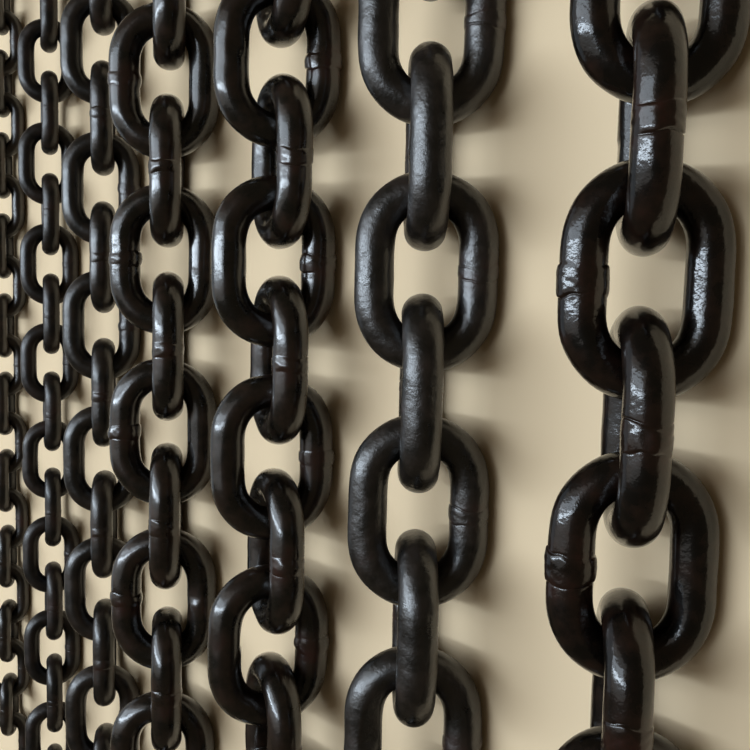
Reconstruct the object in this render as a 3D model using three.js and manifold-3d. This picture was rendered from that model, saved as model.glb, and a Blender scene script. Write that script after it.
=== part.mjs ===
// Seven strands of short-link steel chain, cut to about half a metre and laid side by side on a level floor.
// Units are millimetres, +Z is up, +Y runs along the strands and +X across them, from the thin to the thick.
// The origin is on the floor, under the middle of the set.
import * as THREE from "three";
import { ParametricGeometry } from "three/addons/geometries/ParametricGeometry.js";
import { mergeVertices } from "three/addons/utils/BufferGeometryUtils.js";
import Module from "manifold-3d";

const wasm = await Module();
wasm.setup();

// The centrelines of a link's two straight sides lie this many bar diameters from its middle,
// which makes it 3.6 diameters wide outside and 1.6 inside, as short-link lifting chain is.
const HALF_WIDTH_IN_BARS = 1.3;

// Links that are joined in one solid sink into each other by this share of the bar.
const FUSED_SHARE = 0.12;

// Links settle a little unevenly: each one's lean, in degrees, differs from its strand's by up to this.
const LEAN_WANDER = 1.5;

// Steps round each end bend, and sides of the bar's section.
// clearance: two separate links' centrelines keep one bar and this share of it apart, because
// corners of the section stand out from the round bar. It leaves about 0.3 mm between the solids.
const THICK_MESH = { bendSteps: 5, sides: 8, clearance: 0.1 };
const THIN_MESH = { bendSteps: 5, sides: 6, clearance: 0.18 };

// bar: diameter of the steel. pitch: a link's inside length. links: how many there are.
// solids: how many solids they make. Each thick link is one, and the thin ones are joined in short runs.
// across, along: the middle of the strand's first link, measured from that of the first strand.
// leanRight, leanLeft: angle to the floor, in degrees, of the links that lean to each side by turns.
const STRANDS = [
  { bar: 13, pitch: 41.8, links: 11, solids: 11, across: 0, along: 0, leanRight: 41, leanLeft: 53 },
  { bar: 13, pitch: 41.3, links: 12, solids: 12, across: -78.5, along: 1.8, leanRight: 42, leanLeft: 46 },
  { bar: 13, pitch: 40.1, links: 13, solids: 13, across: -150, along: -6.4, leanRight: 58, leanLeft: 25 },
  { bar: 13, pitch: 40.4, links: 12, solids: 12, across: -226.5, along: -3, leanRight: 44, leanLeft: 36 },
  { bar: 10, pitch: 31.9, links: 15, solids: 4, across: -282.5, along: 8, leanRight: 50, leanLeft: 35 },
  { bar: 8, pitch: 25.1, links: 19, solids: 4, across: -337.5, along: -4, leanRight: 56, leanLeft: 26 },
  { bar: 7, pitch: 21.6, links: 21, solids: 4, across: -394.4, along: 7.5, leanRight: 50, leanLeft: 38 },
];

function blackLacquer() {
  return new THREE.MeshStandardMaterial({ color: 0x1b1614, roughness: 0.35, metalness: 0.3 });
}

// The section is a regular polygon with the same area as the round bar, which keeps the steel's weight.
function sectionCorner({ bar }, { sides }) {
  const wedge = (2 * Math.PI) / sides;
  return (bar / 2) * Math.sqrt(wedge / Math.sin(wedge));
}

// A link's centreline is two half circles joined by two straight sides, in the XY plane.
// end is 1 for the half towards +Y and -1 for the other, and turn runs from 0 to pi round its bend.
function centreline({ bar, pitch }, end, turn) {
  const radius = HALF_WIDTH_IN_BARS * bar;
  const halfStraight = (pitch + bar) / 2 - radius;
  const outwards = new THREE.Vector2(end * Math.cos(turn), end * Math.sin(turn));
  return { outwards, x: radius * outwards.x, y: end * halfStraight + radius * outwards.y };
}

// How far the section turns on the bar so that one of its flats faces the floor once the link leans over.
function sectionRoll(lean, { sides }) {
  const flat = (2 * Math.PI) / sides;
  const floorward = Math.PI / 2 - Math.abs(lean);
  return Math.round(floorward / flat) * flat - floorward;
}

// One link, lying flat in the XY plane with its long way along Y.
function linkGeometry(strand, mesh, lean) {
  const corner = sectionCorner(strand, mesh);
  const ringsPerEnd = mesh.bendSteps + 1;
  const rings = 2 * ringsPerEnd;
  const roll = sectionRoll(lean, mesh) + Math.PI / mesh.sides;
  const skin = (along, around, target) => {
    const ring = Math.round(along * rings) % rings;
    const end = ring < ringsPerEnd ? 1 : -1;
    const { outwards, x, y } = centreline(strand, end, (Math.PI * (ring % ringsPerEnd)) / mesh.bendSteps);
    const turn = 2 * Math.PI * (around % 1) + roll;
    const reach = corner * Math.cos(turn);
    target.set(x + reach * outwards.x, y + reach * outwards.y, corner * Math.sin(turn));
  };
  return new ParametricGeometry(skin, rings, mesh.sides);
}

// Points along half of a link's centreline, leant over and lifted to where the link lies.
function halfLoop(strand, { lean, height }, end) {
  const samples = 60;
  return Array.from({ length: samples + 1 }, (_, i) => {
    const { x, y } = centreline(strand, end, (Math.PI * i) / samples);
    return new THREE.Vector3(x * Math.cos(lean), y, height - x * Math.sin(lean));
  });
}

// The greatest spacing between two neighbours at which their centrelines stay apart by the given distance.
function seatedSpacing(strand, upper, lower, apart) {
  const hangs = halfLoop(strand, upper, -1);
  const holds = halfLoop(strand, lower, 1);
  const isClear = (spacing) => {
    const shift = new THREE.Vector3(0, spacing, 0);
    return hangs.every((p) => holds.every((q) => p.clone().add(shift).distanceTo(q) >= apart));
  };
  let clear = strand.pitch - strand.bar;
  let tooFar = strand.pitch + strand.bar;
  while (tooFar - clear > 0.005) {
    const middle = (clear + tooFar) / 2;
    if (isClear(middle)) clear = middle;
    else tooFar = middle;
  }
  return clear;
}

// Which of its strand's solids a link belongs to. Links and solids are counted from the +Y end.
function solidOf({ links, solids }, link) {
  return Math.floor((link * solids) / links);
}

// How far each link of a strand leans over to the right, in radians.
function leansOf({ links, leanRight, leanLeft }, strandNumber) {
  return Array.from({ length: links }, (_, i) => {
    const wander = LEAN_WANDER * Math.sin(1.7 * i + 2.3 * strandNumber);
    return THREE.MathUtils.degToRad(i % 2 === 0 ? leanRight + wander : -leanLeft - wander);
  });
}

// How high the middle of each link is. A link lies on the floor unless a steeper neighbour holds it up:
// it can't be lower than the neighbour by more than the play of its bar across the neighbour's opening.
function heightsOf({ bar }, mesh, flatReach, leans) {
  const play = bar * (HALF_WIDTH_IN_BARS - 1 - mesh.clearance);
  const resting = leans.map((lean) => HALF_WIDTH_IN_BARS * bar * Math.sin(Math.abs(lean)) + flatReach);
  const heldBy = (i) => (i in resting ? resting[i] - play : 0);
  return resting.map((own, i) => Math.max(own, heldBy(i - 1), heldBy(i + 1)));
}

// Where each link of a strand lies: how far it leans, how high its middle is, and its place along Y.
function layLinks(strand, strandNumber) {
  const mesh = strand.solids === strand.links ? THICK_MESH : THIN_MESH;
  const flatReach = sectionCorner(strand, mesh) * Math.cos(Math.PI / mesh.sides);
  const leans = leansOf(strand, strandNumber);
  const heights = heightsOf(strand, mesh, flatReach, leans);
  const laid = [];
  for (let i = 0; i < strand.links; i++) {
    const link = { lean: leans[i], height: heights[i], along: strand.along, solid: solidOf(strand, i) };
    if (i > 0) {
      const joined = link.solid === laid[i - 1].solid;
      const apart = strand.bar * (joined ? 1 - FUSED_SHARE : 1 + mesh.clearance);
      link.along = laid[i - 1].along - seatedSpacing(strand, laid[i - 1], link, apart);
    }
    laid.push(link);
  }
  return laid.map((link) => ({ ...link, geometry: linkGeometry(strand, mesh, link.lean) }));
}

function placed(object, strand, { lean, height, along }) {
  object.rotation.y = lean;
  object.position.set(strand.across, along, height);
  object.updateMatrixWorld();
  return object;
}

// A link as a solid where it lies, ready to be joined.
function placedSolid(strand, link) {
  const bare = link.geometry.clone().deleteAttribute("normal").deleteAttribute("uv");
  bare.applyMatrix4(placed(new THREE.Object3D(), strand, link).matrixWorld);
  const merged = mergeVertices(bare, 1e-3);
  const vertProperties = merged.attributes.position.array;
  const triVerts = new Uint32Array(merged.index.array);
  return new wasm.Manifold(new wasm.Mesh({ numProp: 3, vertProperties, triVerts }));
}

// A run of links, joined where they touch.
function joinedRun(strand, run) {
  const solid = run.map((link) => placedSolid(strand, link)).reduce((whole, link) => whole.add(link));
  const { vertProperties, triVerts } = solid.getMesh();
  const geometry = new THREE.BufferGeometry();
  geometry.setAttribute("position", new THREE.BufferAttribute(vertProperties, 3));
  geometry.setIndex(new THREE.BufferAttribute(triVerts, 1));
  geometry.computeVertexNormals();
  return new THREE.Mesh(geometry, blackLacquer());
}

// A strand: one mesh for each of its solids, named for the links that it holds.
function chainStrand(strand, strandNumber) {
  const group = new THREE.Group();
  const links = layLinks(strand, strandNumber);
  const number = (link) => String(links.indexOf(link) + 1).padStart(2, "0");
  for (let solid = 0; solid < strand.solids; solid++) {
    const run = links.filter((link) => link.solid === solid);
    const [first, last] = [run[0], run[run.length - 1]];
    if (run.length === 1) {
      const mesh = placed(new THREE.Mesh(first.geometry, blackLacquer()), strand, first);
      mesh.name = `strand_${strandNumber}_link_${number(first)}`;
      group.add(mesh);
    } else {
      const mesh = joinedRun(strand, run);
      mesh.name = `strand_${strandNumber}_links_${number(first)}_to_${number(last)}`;
      group.add(mesh);
    }
  }
  return group;
}

const chainSet = new THREE.Group();
STRANDS.forEach((strand, i) => chainSet.add(chainStrand(strand, i + 1)));

const bounds = new THREE.Box3().setFromObject(chainSet, true);
const middle = bounds.getCenter(new THREE.Vector3());
chainSet.position.set(-middle.x, -middle.y, -bounds.min.z);
chainSet.updateMatrixWorld(true);

export default chainSet;
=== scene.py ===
"""Seven strands of short-link steel chain under black lacquer, laid side by side on a pale studio floor.

Every link is one bar, bent to an oval and butt welded in the middle of one straight side. Its skin is
a surface of two parameters: one runs round the loop of the bar's centreline, the other round the bar.
"""

import bpy
import numpy as np
from mathutils import Matrix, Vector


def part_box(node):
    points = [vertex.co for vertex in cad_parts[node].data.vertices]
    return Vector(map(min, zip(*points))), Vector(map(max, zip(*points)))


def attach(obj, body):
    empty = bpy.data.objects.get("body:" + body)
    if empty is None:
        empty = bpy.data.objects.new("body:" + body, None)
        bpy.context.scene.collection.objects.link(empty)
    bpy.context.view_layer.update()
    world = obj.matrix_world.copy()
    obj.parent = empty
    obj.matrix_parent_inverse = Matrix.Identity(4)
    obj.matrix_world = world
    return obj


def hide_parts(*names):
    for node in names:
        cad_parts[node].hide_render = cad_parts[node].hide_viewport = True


MM = 0.001
TURN = 2 * np.pi

# The centrelines of a link's two straight sides lie this many bar diameters from its middle.
HALF_WIDTH_IN_BARS = 1.3

# Each link's lean differs from its strand's by up to this many degrees. It follows a sine that moves on
# by these many radians from link to link and from strand to strand, as the solids' leans do.
LEAN_WANDER = 1.5
WANDER_BY_LINK, WANDER_BY_STRAND = 1.7, 2.3

# How far a bar can move across the opening of the link it hangs in, in bar diameters: on the strands
# whose links are single solids, and on those whose links are joined in runs.
PLAY_SINGLE, PLAY_JOINED = 0.2, 0.12

# bar: diameter of the steel in mm. pitch: inside length of a link's solid in mm. links: how many there are,
# from the +Y end. lean: angle to the floor, in degrees, of the even links, which lean to the right, and of
# the odd ones, which lean to the left. weld: which straight side is welded on the even and on the odd
# links, 1 for the one towards +X. bead, finish: see BEADS and FINISHES.
STRANDS = [
    dict(bar=13, pitch=41.8, links=11, lean=(41, 53), weld=(-1, 1), bead="flash", finish="gritty_gloss"),
    dict(bar=13, pitch=41.3, links=12, lean=(42, 46), weld=(1, -1), bead="low", finish="satin"),
    dict(bar=13, pitch=40.1, links=13, lean=(58, 25), weld=(1, 1), bead="round", finish="clean_gloss"),
    dict(bar=13, pitch=40.4, links=12, lean=(44, 36), weld=(-1, 1), bead="round", finish="clean_gloss"),
    dict(bar=10, pitch=31.9, links=15, lean=(50, 35), weld=(1, 1), bead="round", finish="thin_satin"),
    dict(bar=8, pitch=25.1, links=19, lean=(56, 26), weld=(1, 1), bead="low", finish="dull_satin"),
    dict(bar=7, pitch=21.6, links=21, lean=(50, 38), weld=(1, 1), bead="low", finish="thin_satin"),
]

# The skin's grid. Its stations along the bar are this far apart in bar diameters, away from the weld and
# at it, and it has this many points round a thick bar and round one of THIN_BAR mm or less.
STATION_STEP, WELD_STATION_STEP = 0.13, 0.018
THIN_BAR = 10
POINTS_ROUND_THICK, POINTS_ROUND_THIN = 72, 30

# The upset metal of the butt weld, all in bar diameters but squareness. height: of the bead over the bar.
# half: half the bead's length. squareness: the higher, the flatter the bead's top and the blunter its ends.
# stray: how far its edges wander. lumps: of its surface. fold: depth of the folds at its edges.
# trim: how far above the bar the trimming tool cut its flats.
BEADS = {
    "flash": dict(height=0.050, half=0.30, squareness=4, stray=0.07, lumps=0.005, fold=0.030, trim=0.030),
    "low": dict(height=0.020, half=0.16, squareness=2, stray=0.06, lumps=0.004, fold=0.014, trim=0.016),
    "round": dict(height=0.050, half=0.22, squareness=2, stray=0.05, lumps=0.005, fold=0.008, trim=0.040),
}

# A fold's middle is this far outside its edge of the bead, and its half width is this, in bar diameters.
# The fold at the bead's other edge has this share of its depth.
FOLD_OUTSIDE, FOLD_HALF, FAINT_FOLD = 0.015, 0.018, 0.3

# The trimming tool cuts this many flats. Their height over the bar is a share of the bead's trim, between
# these two, and with each bar diameter along, their distance from the axis changes by up to this share.
TRIM_FLATS, TRIM_SHARES, TRIM_SLANT = 2, (0.5, 1.6), 0.08

# The dents in a link: how many, and the ranges of their half widths and of their depths, in bar diameters.
DENTS, DENT_HALVES, DENT_DEPTHS = 26, (0.06, 0.16), (0.002, 0.005)

# The long and the short waves that rolling and bending leave in the bar, and how oval its section gets in
# the bends, all in bar diameters.
LONG_WAVES, SHORT_WAVES, BEND_OVAL = 0.006, 0.004, 0.012

# The bar has had all of the weld's heat up to the first distance from the weld, and none of it from the
# second on, in bar diameters.
HEATED_UP_TO, UNHEATED_FROM = 0.25, 0.8

# Each link's patterns are shifted by up to this many mm, so that no two links look alike.
PATTERN_SHIFT = 500

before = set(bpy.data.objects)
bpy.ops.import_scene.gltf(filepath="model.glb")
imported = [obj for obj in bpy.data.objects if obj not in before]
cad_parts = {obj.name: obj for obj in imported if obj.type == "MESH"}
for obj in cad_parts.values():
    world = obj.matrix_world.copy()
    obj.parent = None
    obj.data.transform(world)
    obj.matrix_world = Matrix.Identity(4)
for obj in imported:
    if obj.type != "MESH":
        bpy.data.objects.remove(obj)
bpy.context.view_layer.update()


def smooth(edge0, edge1, x):
    """0 below edge0, 1 above edge1, and 3t^2 - 2t^3 between them, where t is the share of the way."""
    t = np.clip((x - edge0) / (edge1 - edge0), 0, 1)
    return t * t * (3 - 2 * t)


def bell(x, half):
    """A bump of height 1 at x = 0: e to the power of minus (x / half) squared."""
    return np.exp(-((x / half) ** 2))


def stadium(s, radius, half_straight):
    """Points of two half circles joined by two straight sides, at arc lengths s from the +x side's middle.

    Over the first half, x is radius times cos a, and y is the straight length covered plus radius times
    sin a, where a is the arc length on the bend over the radius. The second half is the first turned over.
    """
    bend = np.pi * radius
    half_loop = bend + 2 * half_straight
    on = np.mod(s, half_loop)
    a = np.clip(on - half_straight, 0, bend) / radius
    covered = np.minimum(on, half_straight) - np.maximum(on - half_straight - bend, 0)
    side = np.where(np.mod(s, 2 * half_loop) < half_loop, 1.0, -1.0)
    return side[:, None] * np.stack([radius * np.cos(a), covered + radius * np.sin(a)], axis=-1)


def loop_length(bar, inside):
    """Length of a link's centreline: a whole circle and two straight sides."""
    radius = HALF_WIDTH_IN_BARS * bar
    return TURN * radius + 2 * (inside + bar - 2 * radius)


def centreline(bar, inside, s):
    """A link's centreline and its outward normal in the link's plane, at arc lengths s.

    It is the stadium averaged with itself a little on either side, so that the bends start gently.
    """
    radius = HALF_WIDTH_IN_BARS * bar
    half_straight = (inside + bar) / 2 - radius
    ease = 0.3 * bar

    def eased(at):
        around = [stadium(at + shift, radius, half_straight) for shift in (-ease, 0, 0, ease)]
        return sum(around) / len(around)

    step = 0.02 * bar
    tangent = eased(s + step) - eased(s - step)
    tangent /= np.linalg.norm(tangent, axis=-1, keepdims=True)
    return eased(s), np.stack([tangent[:, 1], -tangent[:, 0]], axis=-1)


def loop_stations(bar, length):
    """Arc lengths round the loop from the weld, close together near the weld and wider apart elsewhere.

    The number of stations to a millimetre is added up along the loop, and a station lies where the sum
    passes each whole number.
    """
    samples = 2001
    fine_up_to, coarse_from = 0.4 * bar, 0.9 * bar
    coarse, fine = STATION_STEP * bar, WELD_STATION_STEP * bar
    s = np.linspace(0, length, samples)
    from_weld = np.minimum(s, length - s)
    density = 1 / coarse + (1 / fine - 1 / coarse) * (1 - smooth(fine_up_to, coarse_from, from_weld))
    count = np.concatenate([[0], np.cumsum((density[1:] + density[:-1]) / 2 * np.diff(s))])
    stations = int(count[-1])
    return np.interp(np.arange(stations) / stations * count[-1], count, s)


def waves(along, v, cycles, turns, rng, count):
    """A sum of count sines over the root of count, each with some cycles along the bar and turns round it.

    Cycles and turns are whole numbers drawn from the two ranges. The phases and the turns' sense are random.
    """
    total = 0
    for _ in range(count):
        twist = rng.integers(*turns) * rng.choice([-1, 1])
        total = total + np.sin(rng.integers(*cycles) * TURN * along + twist * v + rng.uniform(0, TURN))
    return total / np.sqrt(count)


def cut_flat(radius, v, towards, distance):
    """The radius cut by a plane at that distance from the axis: about the lesser of it and distance / cos.

    The cosine is that of v - towards, and where it is low the plane doesn't reach the bar. The cut's edges
    are rounded: the result is minus the logarithm of the sum of e to the power of minus each of the two,
    with both scaled by the sharpness first, and the result scaled back.
    """
    sharpness, least_cosine = 150, 0.05
    plane = distance / np.maximum(np.cos(v - towards), least_cosine)
    return -np.logaddexp(-sharpness * radius, -sharpness * plane) / sharpness


def welded_radius(along, v, bead, rng):
    """The bar's radius near its weld, in bar diameters, at the distance along from the weld and the angle v.

    The bead is a low collar between two straying edges. Along it, t runs from 0 in the middle to 1 at each
    edge, and its height is 1 less t to the power of its squareness, all to another power: about a third
    where the edge is steep, and up to 1.3 where it melts into the bar. The height is greatest in the link's
    plane, out and in, and has large and small lumps. A narrow fold runs beside one edge, and a fainter one
    beside the other. The trimming tool's flats move out of the bar's way where the bead ends.
    """
    large_lumps = waves(along, v, (0, 3), (0, 4), rng, 4)
    small_lumps = waves(along, v, (2, 6), (4, 11), rng, 6)
    swell = 0.6 + 0.4 * np.cos(2 * v) + 0.2 * np.cos(v - rng.uniform(0, TURN))
    height = bead["height"] * swell + bead["lumps"] * (large_lumps + 0.5 * small_lumps)
    crown, folds = 1, 0
    folded_end = rng.choice([-1, 1])
    for end in (1, -1):
        wide_stray = waves(0, v, (0, 1), (1, 3), rng, 1)
        narrow_stray = waves(0, v, (0, 1), (3, 9), rng, 4)
        edge = bead["half"] + bead["stray"] * (wide_stray + 0.3 * narrow_stray)
        steep = smooth(-1.1, 0.2, np.cos(v - rng.uniform(0, TURN)))
        t = np.clip(end * along / edge, 0, 1)
        crown = crown * (1 - t ** bead["squareness"]) ** (1.3 - 0.95 * steep)
        depth = bead["fold"] * (steep if end == folded_end else FAINT_FOLD * steep**2)
        folds = folds + depth * bell(end * along - edge - FOLD_OUTSIDE, FOLD_HALF)
    radius = 0.5 + height * crown - folds
    out_of_the_way = 0.2 * (1 - smooth(0, 0.3, crown))
    for _ in range(TRIM_FLATS):
        distance = 0.5 + bead["trim"] * rng.uniform(*TRIM_SHARES) + out_of_the_way
        slant = 1 + rng.uniform(-TRIM_SLANT, TRIM_SLANT) * along
        radius = cut_flat(radius, v, rng.uniform(0, TURN), distance * slant)
    return radius


def dents(along, v, length, rng):
    """Shallow hollows knocked into the bar, in bar diameters: bells in the distance from their middles."""
    hollow = 0
    for _ in range(DENTS):
        off_along = np.mod(along - rng.uniform(0, length) + length / 2, length) - length / 2
        off_around = (np.mod(v - rng.uniform(0, TURN) + np.pi, TURN) - np.pi) / 2
        half = rng.uniform(*DENT_HALVES)
        hollow = hollow + rng.uniform(*DENT_DEPTHS) * bell(np.hypot(off_along, off_around), half)
    return hollow


def link_skin(bar, inside, bead, rng):
    """The skin of a link that lies flat with its weld towards +x, in mm: x, y, z by station and by angle v.

    A point is the centreline's point, plus r cos v outwards in the link's plane, plus r sin v across it.
    The radius r is the welded bar's, plus long and short waves, less some dents, and oval at the bends.
    Also given are each point's place for its patterns, in mm, and how much of the weld's heat it has had.
    """
    length = loop_length(bar, inside)
    s = loop_stations(bar, length)
    around = POINTS_ROUND_THICK if bar > THIN_BAR else POINTS_ROUND_THIN
    v = np.arange(around)[None, :] * TURN / around
    centre, outwards = centreline(bar, inside, s)
    along = ((np.mod(s + length / 2, length) - length / 2) / bar)[:, None]

    welded = welded_radius(along, v, bead, rng)
    share = s[:, None] / length
    waviness = LONG_WAVES * waves(share, v, (1, 5), (0, 4), rng, 4)
    waviness = waviness + SHORT_WAVES * waves(share, v, (6, 14), (0, 4), rng, 5)
    hollows = dents(along, v, length / bar, rng)
    at_bend = 1 - np.abs(outwards[:, :1])
    radius = bar * (welded + waviness - hollows - BEND_OVAL * at_bend * np.cos(2 * v))

    x = centre[:, :1] + radius * np.cos(v) * outwards[:, :1]
    y = centre[:, 1:] + radius * np.cos(v) * outwards[:, 1:]
    points = np.stack([x, y, radius * np.sin(v)], axis=-1)
    heat = 1 - smooth(HEATED_UP_TO, UNHEATED_FROM, np.abs(along)) + 0 * v
    return points, points + rng.uniform(-PATTERN_SHIFT, PATTERN_SHIFT, 3), heat


def lay(points, side, lean, place):
    """Turns a flat link so that its weld is on that side, leans it about Y, and moves it to its place."""
    flat = points * np.array([side, side, 1.0])
    c, s = np.cos(lean), np.sin(lean)
    x = flat[..., 0] * c + flat[..., 2] * s
    z = flat[..., 2] * c - flat[..., 0] * s
    return np.stack([x, flat[..., 1], z], axis=-1) + place


def touching_inside(bar, spacing, leans, heights):
    """The shortest inside length at which no two neighbours' centrelines come nearer than one bar.

    It is found by halving the range that it lies in. The half loops that face each other are compared
    point by point.
    """
    halvings, samples = 14, 70
    short, long = spacing - 0.2 * bar, spacing + 0.5 * bar
    for _ in range(halvings):
        inside = (short + long) / 2
        half_loop = loop_length(bar, inside) / 2
        loop, _ = centreline(bar, inside, np.linspace(0, half_loop, samples))
        far = np.stack([loop[:, 0], loop[:, 1], 0 * loop[:, 0]], axis=-1)
        nearest = np.inf
        for i in range(len(leans) - 1):
            hangs = lay(far * np.array([1, -1, 1]), 1, leans[i], np.array([0, spacing, heights[i]]))
            holds = lay(far, 1, leans[i + 1], np.array([0, 0, heights[i + 1]]))
            gaps = np.linalg.norm(hangs[:, None] - holds[None], axis=-1)
            nearest = min(nearest, gaps.min())
        if nearest < bar:
            short = inside
        else:
            long = inside
    return long


def closed_grid_quads(rows, columns):
    """Corners of the quads of a grid of points that closes on itself both ways, facing outwards."""
    r, c = np.meshgrid(np.arange(rows), np.arange(columns), indexing="ij")
    r1, c1 = (r + 1) % rows, (c + 1) % columns
    corners = [r * columns + c, r1 * columns + c, r1 * columns + c1, r * columns + c1]
    return np.stack(corners, axis=-1).reshape(-1, 4)


def mesh_piece(name, skins, finish):
    """One object from several links' skins, with its place in the mesh and two attributes for its look."""
    quads, vertices = [], 0
    for points, _, _ in skins:
        quads.append(closed_grid_quads(*points.shape[:2]) + vertices)
        vertices += points.shape[0] * points.shape[1]
    quads = np.concatenate(quads)
    surface, pattern, heat = (np.concatenate([part.reshape(-1) for part in parts]) for parts in zip(*skins))
    mesh = bpy.data.meshes.new(name)
    mesh.vertices.add(vertices)
    mesh.loops.add(quads.size)
    mesh.polygons.add(len(quads))
    mesh.vertices.foreach_set("co", surface * MM)
    mesh.loops.foreach_set("vertex_index", quads.reshape(-1))
    mesh.polygons.foreach_set("loop_start", np.arange(len(quads)) * 4)
    mesh.polygons.foreach_set("use_smooth", np.ones(len(quads), bool))
    mesh.attributes.new("place_mm", "FLOAT_VECTOR", "POINT").data.foreach_set("vector", pattern)
    mesh.attributes.new("weld_heat", "FLOAT", "POINT").data.foreach_set("value", heat)
    mesh.update(calc_edges=True)
    mesh.validate()
    mesh.materials.append(finish)
    piece = bpy.data.objects.new(name, mesh)
    bpy.context.scene.collection.objects.link(piece)
    return piece


def linear(colour):
    """The linear red, green, blue and alpha of an sRGB hex colour."""
    srgb = np.array([int(colour[i : i + 2], 16) for i in (1, 3, 5)]) / 255
    return (*np.where(srgb <= 0.04045, srgb / 12.92, ((srgb + 0.055) / 1.055) ** 2.4), 1.0)


def add(tree, kind, settings=None, links=None):
    """Adds a node of that kind: settings go to its attributes or sockets, links join outputs to sockets."""
    node = tree.nodes.new("ShaderNode" + kind)
    for key, value in (settings or {}).items():
        if isinstance(key, str) and hasattr(node, key):
            setattr(node, key, value)
        else:
            node.inputs[key].default_value = value
    for key, output in (links or {}).items():
        tree.links.new(output, node.inputs[key])
    return node


# All the finishes are black stoving lacquer over the brown mill scale of the hot-rolled bar.
# deep, thin: the lacquer's colour where it lies thick and where the scale shows through it.
# rough: roughness at the smoothest and at the dullest places. shine: the base's specular level.
# grain: relief of the scale and grit under the lacquer, in mm. size: of the grain's largest lumps, in mm;
# the finest are about a tenth of it. Real grit is finer, and is drawn as coarse as it needs to show.
# coat: how much clear gloss the lacquer has on top. haze: the roughness of that gloss.
FINISHES = {
    # A wet-looking gloss, with highlights that the grit below breaks into flakes.
    "gritty_gloss": dict(
        deep="#070504", thin="#1e120c", rough=(0.30, 0.42), shine=0.10,
        grain=0.22, size=4.5, coat=0.85, haze=0.13,
    ),
    # A broad soft sheen with the grain of the scale in it, as there is little gloss on top.
    "satin": dict(
        deep="#0c0a08", thin="#241c17", rough=(0.27, 0.40), shine=0.90,
        grain=0.50, size=4.5, coat=0.05, haze=0.20,
    ),
    # A deep smooth black with crisp, nearly white highlights.
    "clean_gloss": dict(
        deep="#0c0a07", thin="#261a13", rough=(0.25, 0.40), shine=0.20,
        grain=0.16, size=6.0, coat=1.00, haze=0.16,
    ),
    # A soft sheen with little grain in it.
    "thin_satin": dict(
        deep="#0e0c0a", thin="#271d16", rough=(0.28, 0.38), shine=0.70,
        grain=0.22, size=3.0, coat=0.10, haze=0.20,
    ),
    # The dullest: wide and faint highlights on a black that looks dry.
    "dull_satin": dict(
        deep="#0f0c0a", thin="#271c16", rough=(0.34, 0.44), shine=0.50,
        grain=0.20, size=3.0, coat=0.10, haze=0.20,
    ),
}

# The redder scale that shows through the lacquer in patches where the weld's heat has reached.
HEATED_SCALE = "#2f1711"

# Thick and thin lacquer lie in patches about 8 mm wide, drawn as noise: this many patches to a millimetre.
# The colour is deep where the noise is at the first value, thin at the second and heated scale at the
# third. The weld's heat adds its share to the noise. The lacquer dulls between the last two values.
PATCHES_PER_MM = 0.12
DEEP_AT, THIN_AT, SCALE_AT = 0.42, 0.64, 0.86
HEAT_SHARE = 0.15
DULL_FROM, DULL_TO = 0.35, 0.70

# How much of the grain's relief the surface under the clear gloss has.
RELIEF_UNDER_GLOSS = 0.7

# The lacquer's refractive index.
LACQUER_IOR = 1.5


def stoving_lacquer(name, deep, thin, rough, shine, grain, size, coat, haze):
    """Black stoving lacquer on hot-rolled steel: dark, its highlights broken up by the scale's grain."""
    material = bpy.data.materials.new("black_stoving_lacquer_" + name)
    material.use_nodes = True
    tree = material.node_tree
    tree.nodes.clear()
    place = add(tree, "Attribute", {"attribute_name": "place_mm"}).outputs["Vector"]
    heat = add(tree, "Attribute", {"attribute_name": "weld_heat"}).outputs["Fac"]
    grain_noise = {"Scale": 1 / size, "Detail": 3.5, "Roughness": 0.6}
    relief = add(tree, "TexNoise", grain_noise, {"Vector": place}).outputs["Fac"]
    patch_noise = {"Scale": PATCHES_PER_MM, "Detail": 4.0, "Roughness": 0.6}
    patches = add(tree, "TexNoise", patch_noise, {"Vector": place}).outputs["Fac"]
    shown = add(tree, "Math", {"operation": "MULTIPLY_ADD", 1: HEAT_SHARE}, {0: heat, 2: patches})
    colour = add(tree, "ValToRGB", None, {"Fac": shown.outputs["Value"]})
    stops = colour.color_ramp.elements
    stops.new(SCALE_AT)
    for stop, position, hue in zip(stops, (DEEP_AT, THIN_AT, SCALE_AT), (deep, thin, HEATED_SCALE)):
        stop.position, stop.color = position, linear(hue)
    dulling = {"From Min": DULL_FROM, "From Max": DULL_TO, "To Min": rough[0], "To Max": rough[1]}
    dullness = add(tree, "MapRange", dulling, {"Value": patches})
    top = add(tree, "Bump", {"Strength": 1.0, "Distance": grain * MM}, {"Height": relief})
    under_grain = RELIEF_UNDER_GLOSS * grain * MM
    under = add(tree, "Bump", {"Strength": 1.0, "Distance": under_grain}, {"Height": relief})
    gloss = {"Coat Weight": coat, "Coat Roughness": haze, "Coat IOR": LACQUER_IOR}
    skin = add(
        tree, "BsdfPrincipled",
        {"IOR": LACQUER_IOR, "Specular IOR Level": shine, **gloss},
        {"Base Color": colour.outputs["Color"], "Roughness": dullness.outputs["Result"],
         "Normal": under.outputs["Normal"], "Coat Normal": top.outputs["Normal"]},
    )
    add(tree, "OutputMaterial", None, {"Surface": skin.outputs["BSDF"]})
    return material


def strand_nodes(number):
    """The names of a strand's solids, from the +Y end."""
    return sorted(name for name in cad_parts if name.startswith(f"strand_{number}_"))


def strand_leans(number, strand):
    """How far each link leans over to the right, in radians: the strand's lean plus a wandering sine."""
    link = np.arange(strand["links"])
    wander = LEAN_WANDER * np.sin(WANDER_BY_LINK * link + WANDER_BY_STRAND * number)
    right, left = strand["lean"]
    return np.radians(np.where(link % 2 == 0, right + wander, -left - wander))


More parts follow.
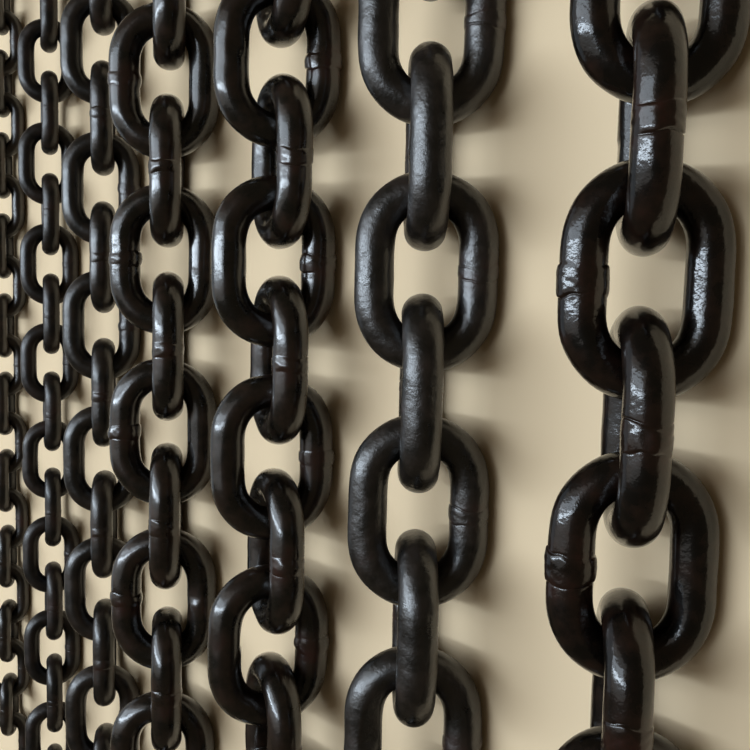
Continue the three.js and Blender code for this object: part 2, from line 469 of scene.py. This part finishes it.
def resting_heights(on_floor, play):
    """How high the middles of a strand's links are: as on the floor, or held up by a steeper neighbour.

    It is the greatest of a link's own height on the floor and of its two neighbours' less the play.
    """
    held = on_floor - play
    before, after = np.append(0, held[:-1]), np.append(held[1:], 0)
    return np.maximum(on_floor, np.maximum(before, after))


def build_strand(number, strand, finish):
    """Lays a strand's links where its solids lie, evenly and just touching, one piece for each solid."""
    bar, links = strand["bar"], strand["links"]
    nodes = strand_nodes(number)
    boxes = [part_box(name) for name in nodes]
    across = np.mean([(low.x + high.x) / 2 for low, high in boxes]) / MM
    # The middles of the first and the last link lie half a link inside the strand's two ends.
    half_link = strand["pitch"] / 2 + bar
    first, last = boxes[0][1].y / MM - half_link, boxes[-1][0].y / MM + half_link
    spacing = (first - last) / (links - 1)

    leans = strand_leans(number, strand)
    play = bar * (PLAY_SINGLE if len(nodes) == links else PLAY_JOINED)
    plain_on_floor = HALF_WIDTH_IN_BARS * bar * np.sin(np.abs(leans)) + bar / 2
    inside = touching_inside(bar, spacing, leans, resting_heights(plain_on_floor, play))

    laid = []
    for link in range(links):
        # Each link has a seed of its own.
        rng = np.random.default_rng(1000 * number + link)
        points, pattern, heat = link_skin(bar, inside, BEADS[strand["bead"]], rng)
        place = np.array([across, first - link * spacing, 0])
        laid.append((lay(points, strand["weld"][link % 2], leans[link], place), pattern, heat))
    # A weld or a wave on the underside lifts its link, and with it the neighbours that the link holds up.
    on_floor = np.array([-points[..., 2].min() for points, _, _ in laid])
    skins = [[] for _ in nodes]
    for link, height in enumerate(resting_heights(on_floor, play)):
        points, pattern, heat = laid[link]
        skins[link * len(nodes) // links].append((points + np.array([0, 0, height]), pattern, heat))
    for node, skin in zip(nodes, skins):
        piece = mesh_piece("lacquered_" + node, skin, finish)
        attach(piece, "root")
        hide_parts(node)


def pale_floor(size):
    """A level square of pale warm studio card, size metres across."""
    mesh = bpy.data.meshes.new("floor")
    h = size / 2
    mesh.from_pydata([(-h, -h, 0), (h, -h, 0), (h, h, 0), (-h, h, 0)], [], [(0, 1, 2, 3)])
    # Uncoated card: it spreads the light evenly and has no shine.
    material = bpy.data.materials.new("pale_studio_card")
    material.use_nodes = True
    card = material.node_tree.nodes["Principled BSDF"]
    card.inputs["Base Color"].default_value = linear("#f9e0ba")
    card.inputs["Roughness"].default_value = 0.8
    card.inputs["Specular IOR Level"].default_value = 0.0
    mesh.materials.append(material)
    floor = bpy.data.objects.new("floor", mesh)
    bpy.context.scene.collection.objects.link(floor)


def placed(right, up, backwards, centre):
    """The world matrix of an object with these axes at this place."""
    rows = np.eye(4)
    rows[:3, :3] = np.stack([right, up, backwards], axis=1)
    rows[:3, 3] = centre
    return Matrix(rows.tolist())


def softbox(name, across, along, distance, radiance, colour):
    """A rectangular studio light that faces the origin from that distance, in metres.

    across and along are the angles, in degrees from straight up towards +X and towards +Y, between which
    it is seen from there. Its size is twice the distance times the tangent of half the angle between them,
    and its power is pi times its area times its radiance.
    """
    x_angle, y_angle = np.radians(np.mean(across)), np.radians(np.mean(along))
    width, height = (2 * distance * np.tan(np.radians(np.ptp(span)) / 2) for span in (across, along))
    right = np.array([np.cos(x_angle), 0.0, -np.sin(x_angle)])
    level = np.array([np.sin(x_angle), 0.0, np.cos(x_angle)])
    backwards = np.cos(y_angle) * level + np.array([0.0, np.sin(y_angle), 0.0])
    light = bpy.data.lights.new(name, "AREA")
    light.shape = "RECTANGLE"
    light.size, light.size_y = width, height
    light.energy = np.pi * width * height * radiance
    light.color = linear(colour)[:3]
    lamp = bpy.data.objects.new(name, light)
    lamp.matrix_world = placed(right, np.cross(backwards, right), backwards, distance * backwards)
    bpy.context.scene.collection.objects.link(lamp)


def studio_lights():
    """Two strips, one inside the other, a pane and two glows, and a faint warm light from all round."""
    # The strips draw the narrow highlight down each bar, bright in the middle and softer at its edges.
    softbox("strip_core", across=(-48, 6), along=(2.0, 5.8), distance=2.8, radiance=19.0, colour="#e0f0ff")
    softbox("long_strip", across=(-58, 17), along=(1.4, 6.6), distance=2.9, radiance=8.0, colour="#e0f0ff")
    # The pane lights the bends, and the glows keep the skin readable in the dark parts.
    softbox("upper_pane", across=(-58, 6), along=(10, 20), distance=3.1, radiance=4.0, colour="#e0f0ff")
    softbox("wide_glow", across=(-60, 16), along=(-17, 33), distance=3.3, radiance=0.55, colour="#fdf6ee")
    softbox("side_glow", across=(-88, -60), along=(-20, 30), distance=3.3, radiance=0.5, colour="#c4d4e4")
    world = bpy.data.worlds.new("studio")
    world.use_nodes = True
    surround = world.node_tree.nodes["Background"]
    surround.inputs["Color"].default_value = linear("#d2bf9f")
    surround.inputs["Strength"].default_value = 0.12
    bpy.context.scene.world = world


def photo_camera():
    """The photograph's view: low over the thick strands, looking down and across to the thin ones."""
    camera = bpy.data.cameras.new("camera")
    camera.sensor_width = 36.0
    camera.lens = 46.64
    right = np.array([0.72167, 0.02354, -0.69184])
    up = np.array([-0.08362, 0.99507, -0.05337])
    view = bpy.data.objects.new("camera", camera)
    view.matrix_world = placed(right, up, np.cross(right, up), (0.3228, 0.0634, 0.2587))
    bpy.context.scene.collection.objects.link(view)
    bpy.context.scene.camera = view


finishes = {name: stoving_lacquer(name, **look) for name, look in FINISHES.items()}
for number, strand in enumerate(STRANDS, start=1):
    build_strand(number, strand, finishes[strand["finish"]])

pale_floor(size=8.0)
studio_lights()
bpy.context.scene.view_settings.view_transform = "Standard"
photo_camera()
